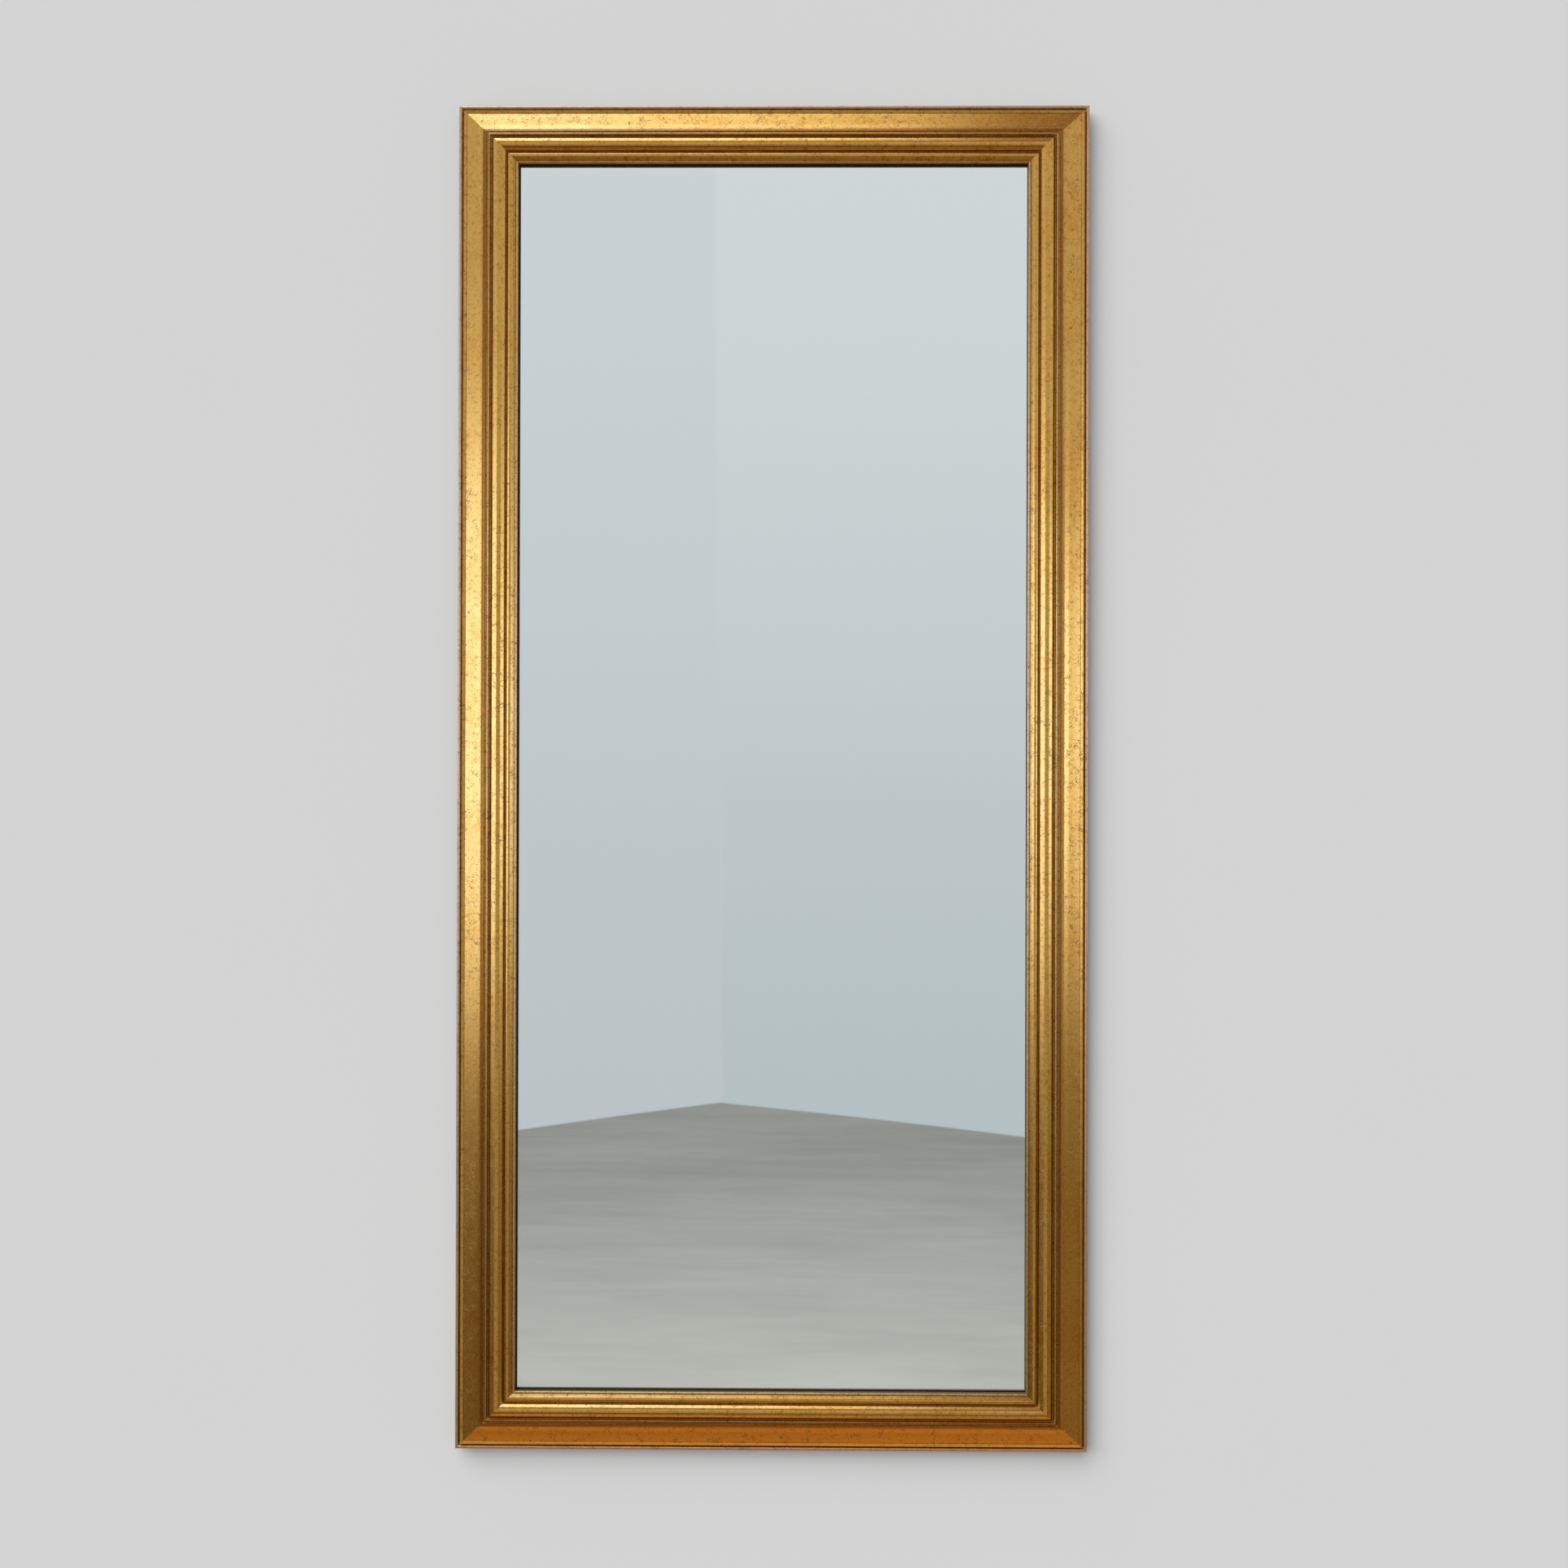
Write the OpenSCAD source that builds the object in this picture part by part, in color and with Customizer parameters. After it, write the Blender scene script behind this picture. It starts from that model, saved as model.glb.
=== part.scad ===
// Tall hanging mirror: a mitred, gilded timber moulding round a plain silvered plate.
// Millimetres. +Z is up, the front faces -Y and the wall is the plane y = 0.
// The origin is on the wall, level with the middle of the frame.

/* [Frame] */
// Width over the outer edges
frame_w = 800; // [600:1:1100]
// Height over the outer edges
frame_h = 1704; // [1400:1:2000]
// Gap between the back of the frame and the wall
wall_gap = 8; // [7.5:0.1:12]

/* [Moulding] */
// Width of the moulding's face
rail_w = 79; // [76:0.1:95]
// Depth of the moulding at the crown of its torus
moulding_d = 36.8; // [35.5:0.1:42]
// Width of the bead along the outer edge
outer_bead_w = 4.4; // [3.4:0.1:5]
// Height of the outer bead's crown above the back
outer_edge_h = 14.6; // [13.5:0.1:16]
// Width of each quirk, the round groove beside a bead
quirk_w = 2.2; // [1.6:0.1:2.6]
// Width of the fillet that edges the flat band
fillet_w = 3.4; // [2:0.1:4.5]
// Height of the fillet's outer edge above the band
fillet_rise = 1.4; // [1:0.1:2]
// Fall of the fillet from its outer edge to the band
fillet_fall = 0.9; // [0:0.1:1]
// Height of the band's outer edge above the back
band_h = 14.6; // [13.5:0.1:16]
// Climb of the band from its outer edge to the cove
band_rise = 4.2; // [3:0.1:5.5]
// Width of the cove that climbs from the band
cove_w = 13; // [10.5:0.1:14]
// Width of the arris between the cove and the quirk above it
cove_lip_w = 0.5; // [0.3:0.1:1]
// Level from which the inner members spring, above the back
spring_h = 32; // [30:0.1:33]
// Width of the small bead between the cove and the torus
small_bead_w = 3.2; // [2.4:0.1:4]
// Width of the torus
torus_w = 17.4; // [16:0.1:20]
// Width of the low cushion member inside the torus
cushion_w = 6.8; // [6:0.1:8]
// Rise of the cushion above its springing
cushion_rise = 1.3; // [0.8:0.1:2]
// Width of the bevel that falls from the cushion to the sight bead
bevel_w = 3.2; // [2.4:0.1:4]
// Fall of that bevel
bevel_fall = 2.2; // [1.4:0.1:2.6]
// Width of the bead along the sight edge
inner_bead_w = 3.1; // [2.4:0.1:4]
// Width of the flat between the inner bead and the sight edge
sight_flat_w = 0.4; // [0.2:0.1:2]

/* [Rebate, plate and back] */
// Width of the rebate behind the sight edge
rebate_w = 9.5; // [8:0.1:12]
// Depth of the rebate from the back of the frame
rebate_d = 24.4; // [22:0.1:26]
// Thickness of the mirror plate
plate_t = 4; // [3:0.1:6]
// Space between the plate's edges and the rebate walls, which the edge blocks fill
plate_gap = 1.5; // [1:0.1:2.5]
// Length of each edge block
block_l = 30; // [15:1:60]
// Distance of each edge block from the nearer corner of the plate
block_inset = 150; // [80:1:200]
// Thickness of the fibreboard back
board_t = 4; // [3:0.1:5]
// Space between the board's edges and the rebate walls
board_gap = 1; // [0.5:0.1:2]
// Width of the packing fillets between plate and back
packing_w = 8; // [6:0.1:8.5]
// Space between a packing fillet and the wood beside it
packing_gap = 0.3; // [0.1:0.1:0.8]

/* [Corner V nails] */
// Length of each leg of a V nail
v_nail_leg = 9; // [6:0.5:12]
// Thickness of the V nail's strip
v_nail_t = 0.8; // [0.6:0.1:1.2]
// Height of the V nail, driven in from the back
v_nail_h = 10; // [7:0.5:12]
// Distance from the outer edges to the outer V nail's point
v_nail_outer = 18; // [12:1:24]
// Spacing of the two V nails, measured the same way
v_nail_pitch = 28; // [18:1:32]
// Room round a V nail in its slot
v_nail_fit = 0.04; // [0.02:0.01:0.1]

/* [Turn buttons] */
// Turn buttons on each side rail
button_side_n = 4; // [3:1:5]
// Turn buttons on the top rail and on the bottom rail
button_end_n = 2; // [2:1:3]
// Distance from a corner of the frame to the first turn button
button_inset = 250; // [180:1:280]
// Distance from the rebate's edge to a turn button's screw
button_back = 11; // [9:0.1:14]
// Width of a turn button
button_w = 12; // [10:0.5:14]
// Length of a turn button
button_l = 30; // [28:0.5:34]
// Thickness of a turn button
button_t = 1.2; // [0.8:0.1:1.6]
// Running gap under and over a turn button
button_gap = 0.2; // [0.1:0.05:0.3]
// Diameter of a turn button screw's shank
button_shank_d = 3.5; // [3:0.1:4]
// Length of a turn button screw in the wood
button_shank_l = 14; // [10:0.5:18]

/* [Strap hangers] */
// Drop of the rings' axis below the top of the frame
hanger_drop = 400; // [350:1:450]
// Distance from the frame's outer edge to the middle of a strap
hanger_inset = 27; // [25:0.5:29]
// Width of the strap
strap_w = 15; // [13:0.5:18]
// Thickness of the steel strip that the strap is folded from
strap_t = 1.2; // [1:0.1:1.4]
// Length of the strap below the rings' axis
strap_l = 46; // [44:0.5:60]
// Distance of the upper hanger screw below the rings' axis
hanger_screw_top = 13; // [11:0.5:14]
// Distance between the two hanger screws
hanger_screw_pitch = 22; // [19:0.5:23]
// Diameter of a hanger screw's shank
hanger_shank_d = 4; // [3.5:0.1:4.5]
// Length of a hanger screw in the wood
hanger_shank_l = 11; // [8:0.5:12]

/* [D rings] */
// Diameter of the ring's wire
wire_d = 3; // [2.5:0.1:3.2]
// Width over the outside of the ring
ring_w = 28; // [26:0.5:32]
// Radius of the ring's lower corners, at the middle of the wire
ring_corner_r = 3.5; // [3:0.1:4]
// Straight part of each leg of the ring
ring_leg = 6; // [4:0.5:8]
// Running clearance of the ring in the strap's loop, on the radius
loop_fit = 0.08; // [0.03:0.01:0.1]

/* [Screw heads] */
// Diameter of the screw heads
head_d = 7.6; // [7:0.1:8]
// Height of the screw heads
head_h = 2; // [1.6:0.1:2.4]
// Width of the cross recess in the heads
recess_w = 0.8; // [0.6:0.1:1]
// Length of each slot of the cross recess
recess_l = 4; // [3:0.1:4.6]
// Depth of the cross recess
recess_depth = 1.1; // [0.8:0.1:1.3]
// Room round a screw's shank in its pilot hole
pilot_fit = 0.05; // [0.02:0.01:0.1]
// Room round a screw's shank in what it clamps or carries, on the radius
shank_fit = 0.08; // [0.05:0.01:0.1]
// Length of a screw's point
point_l = 4; // [3:0.5:6]

/* [Wall bumpers] */
// Diameter of a bumper against the frame
bumper_d = 22; // [20:0.5:26]
// Diameter of a bumper against the wall
bumper_nose_d = 19; // [16:0.5:19.5]
// Distance of a bumper's middle from the top or bottom of the frame
bumper_end = 110; // [100:1:140]
// Distance of a bumper's middle from the frame's outer edge
bumper_inset = 27; // [20:0.5:32]
// Thickness of rubber under a bumper's screw head
bumper_web = 2.5; // [2:0.1:3]
// Room round a screw head sunk in a bumper, on the radius
bumper_well_gap = 0.6; // [0.3:0.1:1]
// Length of a bumper screw in the wood
bumper_shank_l = 10; // [8:0.5:12]

/* [Hidden] */

$fn = 48;

gilt = [0.74, 0.56, 0.29];
silvered = [0.78, 0.83, 0.84];
pine = [0.82, 0.68, 0.47];
fibreboard = [0.52, 0.38, 0.25];
steel = [0.66, 0.67, 0.68];
block_rubber = [0.16, 0.16, 0.16];
rubber = [0.10, 0.10, 0.10];

// Cuts run past the faces they open by this much
past = 1;

// A pan head's crown takes these shares of its width and height, and a point is blunt by this share
crown_span = 0.8;
crown_rise = 0.45;
point_blunt = 0.15;

// Places across the moulding, from the outer edge in
quirk_a_s = outer_bead_w;
fillet_s = quirk_a_s + quirk_w;
band_s = fillet_s + fillet_w;
inner_bead_s = rail_w - sight_flat_w - inner_bead_w;
bevel_s = inner_bead_s - bevel_w;
cushion_s = bevel_s - cushion_w;
quirk_d_s = cushion_s - quirk_w;
torus_s = quirk_d_s - torus_w;
quirk_c_s = torus_s - quirk_w;
small_bead_s = quirk_c_s - small_bead_w;
quirk_b_s = small_bead_s - quirk_w;
cove_top_s = quirk_b_s - cove_lip_w;
cove_s = cove_top_s - cove_w;
rebate_s = rail_w - rebate_w;

// The band and the cove, which leaves the band along its slope
band_top_h = band_h + band_rise;
band_angle = atan2(band_rise, cove_s - band_s);
cove_angle = atan2(spring_h - band_top_h, cove_w);
cove_chord = norm([cove_w, spring_h - band_top_h]);
cove_r = cove_chord / (2 * sin(cove_angle - band_angle));
outer_spring_h = outer_edge_h - outer_bead_w / 2;
sight_h = spring_h - bevel_fall;

// The space inside the rebates
rebate_x = frame_w / 2 - rebate_s;
rebate_z = frame_h / 2 - rebate_s;
back_y = -wall_gap;
board_y = back_y - board_t;
plate_y = back_y - rebate_d + plate_t;
packing_t = rebate_d - plate_t - board_t;

// Turn buttons: [x, z, turn], where the turn points the tongue over the board
button_s = rebate_s - button_back;
button_under = button_gap;
button_head_h = button_under + button_t + button_gap;
button_tail = button_w / 2;

function spread(i, n, span) = span * (i / (n - 1) - 0.5);

function side_button(side, i) = [
    side * (frame_w / 2 - button_s),
    -spread(i, button_side_n, frame_h - 2 * button_inset),
    side < 0 ? 0 : 180
];

function end_button(end, i) = [
    spread(i, button_end_n, frame_w - 2 * button_inset),
    end * (frame_h / 2 - button_s),
    end < 0 ? -90 : 90
];

function side_buttons(side) = [for (i = [0:button_side_n - 1]) side_button(side, i)];
function end_buttons(end) = [for (i = [0:button_end_n - 1]) end_button(end, i)];

// Hangers and bumpers, on the side rails
hanger_x = frame_w / 2 - hanger_inset;
hanger_z = frame_h / 2 - hanger_drop;
hanger_screw_drops = [hanger_screw_top, hanger_screw_top + hanger_screw_pitch];
bumper_x = frame_w / 2 - bumper_inset;
bumper_z = frame_h / 2 - bumper_end;

function hanger_marks(side) = [for (drop = hanger_screw_drops) [side * hanger_x, hanger_z - drop]];
function bumper_marks(side) = [for (end = [-1, 1]) [side * bumper_x, end * bumper_z]];

// The strap's loop and the ring in it
loop_r = wire_d / 2 + loop_fit;
loop_h = loop_r + strap_t;
ring_half = (ring_w - wire_d) / 2;

// The moulding's section: x is the distance in from the outer edge, y the height above the back

function arc_radius(chord, rise) = (chord * chord / 4 + rise * rise) / (2 * rise);

// A round member: the cap of a disc on a chord of width w, rooted in the wood below its springing
module round_member(s, w, level, rise) {
    r = arc_radius(w, rise);
    root = quirk_w / 4;
    intersection() {
        translate([s + w / 2, level + rise - r])
            circle(r);
        translate([s, level - root])
            square([w, rise + root + past]);
    }
}

module quirk(s, level) {
    translate([s + quirk_w / 2, level])
        circle(quirk_w / 2);
}

module cove_cut() {
    translate([cove_s - cove_r * sin(band_angle), band_top_h + cove_r * cos(band_angle)])
        circle(cove_r);
}

module moulding_ground() {
    polygon([
        [0, 0],
        [rebate_s, 0],
        [rebate_s, rebate_d],
        [rail_w, rebate_d],
        [rail_w, sight_h],
        [inner_bead_s, sight_h],
        [bevel_s, spring_h],
        [cove_top_s, spring_h],
        [cove_s, band_top_h],
        [band_s, band_h],
        [band_s, band_h + fillet_rise - fillet_fall],
        [fillet_s, band_h + fillet_rise],
        [fillet_s, outer_spring_h],
        [0, outer_spring_h]
    ]);
}

module moulding_section() {
    difference() {
        union() {
            moulding_ground();
            round_member(0, outer_bead_w, outer_spring_h, outer_bead_w / 2);
            round_member(small_bead_s, small_bead_w, spring_h, small_bead_w / 2);
            round_member(torus_s, torus_w, spring_h, moulding_d - spring_h);
            round_member(cushion_s, cushion_w, spring_h, cushion_rise);
            round_member(inner_bead_s, inner_bead_w, sight_h, inner_bead_w / 2);
        }
        cove_cut();
        quirk(quirk_a_s, outer_spring_h);
        for (s = [quirk_b_s, quirk_c_s, quirk_d_s])
            quirk(s, spring_h);
    }
}

// The outline that a rail keeps between its two mitres, seen from the front
module mitre_outline(along) {
    polygon([
        [-past, along / 2 + past],
        [rail_w + past, along / 2 - rail_w - past],
        [rail_w + past, -along / 2 + rail_w + past],
        [-past, -along / 2 - past]
    ]);
}

// A rail along Z with its outer edge at x = -across / 2 and its mitres cut
module rail_blank(across, along) {
    intersection() {
        translate([-across / 2, back_y, 0])
            rotate([180, 0, 0])
                linear_extrude(along, center = true)
                    moulding_section();
        translate([-across / 2, 0, 0])
            rotate([90, 0, 0])
                linear_extrude(wall_gap + moulding_d + past)
                    mitre_outline(along);
    }
}

// Turns children whose +Z is out of the wood to stand on the back of the frame at [x, z]
module on_back(mark, h = 0) {
    translate([mark[0], back_y + h, mark[1]])
        rotate([-90, 0, 0])
            children();
}

module pilot_hole(shank_d, length) {
    translate([0, 0, -length - pilot_fit])
        cylinder(h = length + pilot_fit + past, d = shank_d + 2 * pilot_fit);
}

// One V nail at the corner [side, end], with its point on the mitre, standing proud by over;
// room widens it into its slot
module v_nail(side, end, inset, room, over) {
    half_t = v_nail_t / 2 + room;
    reach = v_nail_leg + room;
    height = v_nail_h + room + over;
    translate([side * (frame_w / 2 - inset), back_y + over - height, end * (frame_h / 2 - inset)])
        mirror([side > 0 ? 1 : 0, 0, 0])
            mirror([0, 0, end > 0 ? 1 : 0])
                translate([-half_t, 0, -half_t])
                    union() {
                        cube([reach + half_t, height, 2 * half_t]);
                        cube([2 * half_t, height, reach + half_t]);
                    }
}

module corner_nails(side, end, room, over) {
    for (inset = [v_nail_outer, v_nail_outer + v_nail_pitch])
        v_nail(side, end, inset, room, over);
}

module side_rail(side) {
    difference() {
        rotate([0, side < 0 ? 0 : 180, 0])
            rail_blank(frame_w, frame_h);
        for (mark = side_buttons(side))
            on_back(mark) pilot_hole(button_shank_d, button_shank_l);
        for (mark = hanger_marks(side))
            on_back(mark) pilot_hole(hanger_shank_d, hanger_shank_l);
        for (mark = bumper_marks(side))
            on_back(mark) pilot_hole(hanger_shank_d, bumper_shank_l);
        for (end = [-1, 1])
            corner_nails(side, end, v_nail_fit, past);
    }
}

module end_rail(end) {
    difference() {
        rotate([0, end < 0 ? -90 : 90, 0])
            rail_blank(frame_h, frame_w);
        for (mark = end_buttons(end))
            on_back(mark) pilot_hole(button_shank_d, button_shank_l);
        for (side = [-1, 1])
            corner_nails(side, end, v_nail_fit, past);
    }
}

module rail_top() {
    color(gilt) end_rail(1);
}

module rail_bottom() {
    color(gilt) end_rail(-1);
}

module rail_left() {
    color(gilt) side_rail(-1);
}

module rail_right() {
    color(gilt) side_rail(1);
}

module corner_v_nails() {
    color(steel)
        for (side = [-1, 1], end = [-1, 1])
            corner_nails(side, end, 0, 0);
}

// A sheet in the rebates, gap short of their walls, from y down to y - t
module rebate_sheet(gap, y, t) {
    translate([-rebate_x + gap, y - t, -rebate_z + gap])
        cube([2 * (rebate_x - gap), t, 2 * (rebate_z - gap)]);
}

module mirror_plate() {
    color(silvered) rebate_sheet(plate_gap, plate_y, plate_t);
}

module edge_blocks() {
    block_x = rebate_x - plate_gap - block_inset;
    block_z = rebate_z - plate_gap - block_inset;
    color(block_rubber) {
        for (x = [-block_x, block_x], end = [-1, 1])
            translate([x - block_l / 2, plate_y - plate_t, end * (rebate_z - plate_gap / 2) - plate_gap / 2])
                cube([block_l, plate_t, plate_gap]);
        for (z = [-block_z, block_z], side = [-1, 1])
            translate([side * (rebate_x - plate_gap / 2) - plate_gap / 2, plate_y - plate_t, z - block_l / 2])
                cube([plate_gap, plate_t, block_l]);
    }
}

// Packing along the end rails runs between the pieces along the side rails
module packing_end(end) {
    outer_z = rebate_z - packing_gap;
    length = 2 * (rebate_x - 2 * packing_gap - packing_w);
    color(pine)
        translate([-length / 2, plate_y, end * (outer_z - packing_w / 2) - packing_w / 2])
            cube([length, packing_t, packing_w]);
}

module packing_side(side) {
    outer_x = rebate_x - packing_gap;
    length = 2 * (rebate_z - packing_gap);
    color(pine)
        translate([side * (outer_x - packing_w / 2) - packing_w / 2, plate_y, -length / 2])
            cube([packing_w, packing_t, length]);
}

module packing_top() {
    packing_end(1);
}

module packing_bottom() {
    packing_end(-1);
}

module packing_left() {
    packing_side(-1);
}

module packing_right() {
    packing_side(1);
}

module backing_board() {
    color(fibreboard) rebate_sheet(board_gap, back_y, board_t);
}

// A pan-head screw: the shank goes down from z = 0, and the head sits from z = lift up
module screw(shank_d, length, lift) {
    head_r = head_d / 2;
    dome_r = arc_radius(head_d * crown_span, head_h * crown_rise);
    difference() {
        union() {
            translate([0, 0, -length + point_l])
                cylinder(h = length - point_l + lift + head_h / 2, d = shank_d);
            translate([0, 0, -length])
                cylinder(h = point_l, d1 = shank_d * point_blunt, d2 = shank_d);
            translate([0, 0, lift])
                intersection() {
                    cylinder(h = head_h, r = head_r);
                    translate([0, 0, head_h - dome_r])
                        sphere(dome_r);
                }
        }
        for (turn = [0, 90])
            rotate(turn)
                translate([-recess_l / 2, -recess_w / 2, lift + head_h - recess_depth])
                    cube([recess_l, recess_w, recess_depth + past]);
    }
}

// A turn button lying on the back, with its hole at the origin and its tongue towards +X
module turn_button(mark) {
    color(steel)
        on_back(mark, button_under)
            rotate(mark[2])
                linear_extrude(button_t)
                    difference() {
                        union() {
                            circle(button_tail);
                            translate([0, -button_w / 2])
                                square([button_l - button_w, button_w]);
                            translate([button_l - button_w, 0])
                                circle(button_tail);
                        }
                        circle(button_shank_d / 2 + shank_fit);
                    }
}

module turn_button_screws() {
    color(steel)
        for (marks = [side_buttons(-1), side_buttons(1), end_buttons(-1), end_buttons(1)], mark = marks)
            on_back(mark) screw(button_shank_d, button_shank_l, button_head_h);
}

// The strip runs up the back, round the ring's wire and down over itself
module hanger_strap(side) {
    leaf_t = 2 * strap_t;
    straight = strap_l - strap_w / 2;
    color(steel)
        difference() {
            union() {
                on_back([side * hanger_x, hanger_z])
                    linear_extrude(leaf_t)
                        union() {
                            translate([-strap_w / 2, 0])
                                square([strap_w, straight]);
                            translate([0, straight])
                                circle(strap_w / 2);
                        }
                loop_solid(side, loop_h, strap_w);
            }
            loop_solid(side, loop_r, strap_w + 2 * past);
            for (mark = hanger_marks(side))
                on_back(mark)
                    translate([0, 0, -past])
                        cylinder(h = leaf_t + 2 * past, d = hanger_shank_d + 2 * shank_fit);
        }
}

module loop_solid(side, r, w) {
    translate([side * hanger_x, back_y + loop_h, hanger_z])
        rotate([0, 90, 0])
            cylinder(h = w, r = r, center = true);
}

// The ring stands up from its straight side, which lies in the strap's loop
module hanger_ring(side) {
    corner_x = ring_half - ring_corner_r;
    bow_z = ring_corner_r + ring_leg;
    color(steel)
        translate([side * hanger_x, back_y + loop_h, hanger_z])
            union() {
                rotate([0, 90, 0])
                    cylinder(h = 2 * corner_x, d = wire_d, center = true);
                for (hand = [-1, 1]) {
                    translate([hand * ring_half, 0, ring_corner_r])
                        cylinder(h = ring_leg, d = wire_d);
                    translate([hand * corner_x, 0, ring_corner_r])
                        rotate([90, 0, 0])
                            rotate(hand < 0 ? 180 : 270)
                                rotate_extrude(angle = 90)
                                    translate([ring_corner_r, 0]) circle(d = wire_d);
                }
                translate([0, 0, bow_z])
                    rotate([90, 0, 0])
                        rotate_extrude(angle = 180)
                            translate([ring_half, 0]) circle(d = wire_d);
            }
}

module hanger_screws() {
    color(steel)
        for (side = [-1, 1], mark = hanger_marks(side))
            on_back(mark) screw(hanger_shank_d, hanger_shank_l, 2 * strap_t);
}

module wall_bumpers() {
    well_d = head_d + 2 * bumper_well_gap;
    color(rubber)
        for (side = [-1, 1], mark = bumper_marks(side))
            on_back(mark)
                difference() {
                    cylinder(h = wall_gap, d1 = bumper_d, d2 = bumper_nose_d);
                    translate([0, 0, bumper_web])
                        cylinder(h = wall_gap, d = well_d);
                    translate([0, 0, -past])
                        cylinder(h = wall_gap, d = hanger_shank_d + 2 * shank_fit);
                }
}

module bumper_screws() {
    color(steel)
        for (side = [-1, 1], mark = bumper_marks(side))
            on_back(mark) screw(hanger_shank_d, bumper_shank_l, bumper_web);
}

module hanger_strap_left() {
    hanger_strap(-1);
}

module hanger_strap_right() {
    hanger_strap(1);
}

module hanger_ring_left() {
    hanger_ring(-1);
}

module hanger_ring_right() {
    hanger_ring(1);
}

rail_top();
rail_bottom();
rail_left();
rail_right();
corner_v_nails();
mirror_plate();
edge_blocks();
packing_top();
packing_bottom();
packing_left();
packing_right();
backing_board();
for (i = [1:button_side_n]) {
    turn_button(side_button(-1, i - 1));
    turn_button(side_button(1, i - 1));
}
for (i = [1:button_end_n]) {
    turn_button(end_button(1, i - 1));
    turn_button(end_button(-1, i - 1));
}
turn_button_screws();
hanger_strap_left();
hanger_strap_right();
hanger_ring_left();
hanger_ring_right();
hanger_screws();
wall_bumpers();
bumper_screws();
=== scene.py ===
import math

import bmesh
import bpy
from mathutils import Matrix, Vector


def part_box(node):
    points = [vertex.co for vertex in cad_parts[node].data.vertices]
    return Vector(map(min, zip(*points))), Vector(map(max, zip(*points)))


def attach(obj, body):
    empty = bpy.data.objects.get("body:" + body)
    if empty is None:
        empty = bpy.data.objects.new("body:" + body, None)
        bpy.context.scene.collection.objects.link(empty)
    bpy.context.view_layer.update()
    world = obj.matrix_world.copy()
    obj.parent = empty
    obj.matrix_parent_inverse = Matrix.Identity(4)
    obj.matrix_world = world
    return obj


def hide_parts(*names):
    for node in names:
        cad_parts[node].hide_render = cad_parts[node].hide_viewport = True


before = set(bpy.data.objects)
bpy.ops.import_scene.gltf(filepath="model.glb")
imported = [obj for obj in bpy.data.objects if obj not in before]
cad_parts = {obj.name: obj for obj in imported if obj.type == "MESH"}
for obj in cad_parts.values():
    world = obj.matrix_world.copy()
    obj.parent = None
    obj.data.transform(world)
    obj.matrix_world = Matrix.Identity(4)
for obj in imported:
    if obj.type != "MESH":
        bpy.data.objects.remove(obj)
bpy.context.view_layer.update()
print("frame loaded:", len(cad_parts), "nodes")

mm = 0.001
sideLow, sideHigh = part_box("rail_left")
plateLow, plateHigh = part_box("mirror_plate")
halfWidth = -sideLow.x
halfHeight = sideHigh.z
backY = sideHigh.y  # the back of the frame; the wall is at y = 0


# Shader maths: a Flow wraps one socket, so that sums on flows add Math nodes

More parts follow.
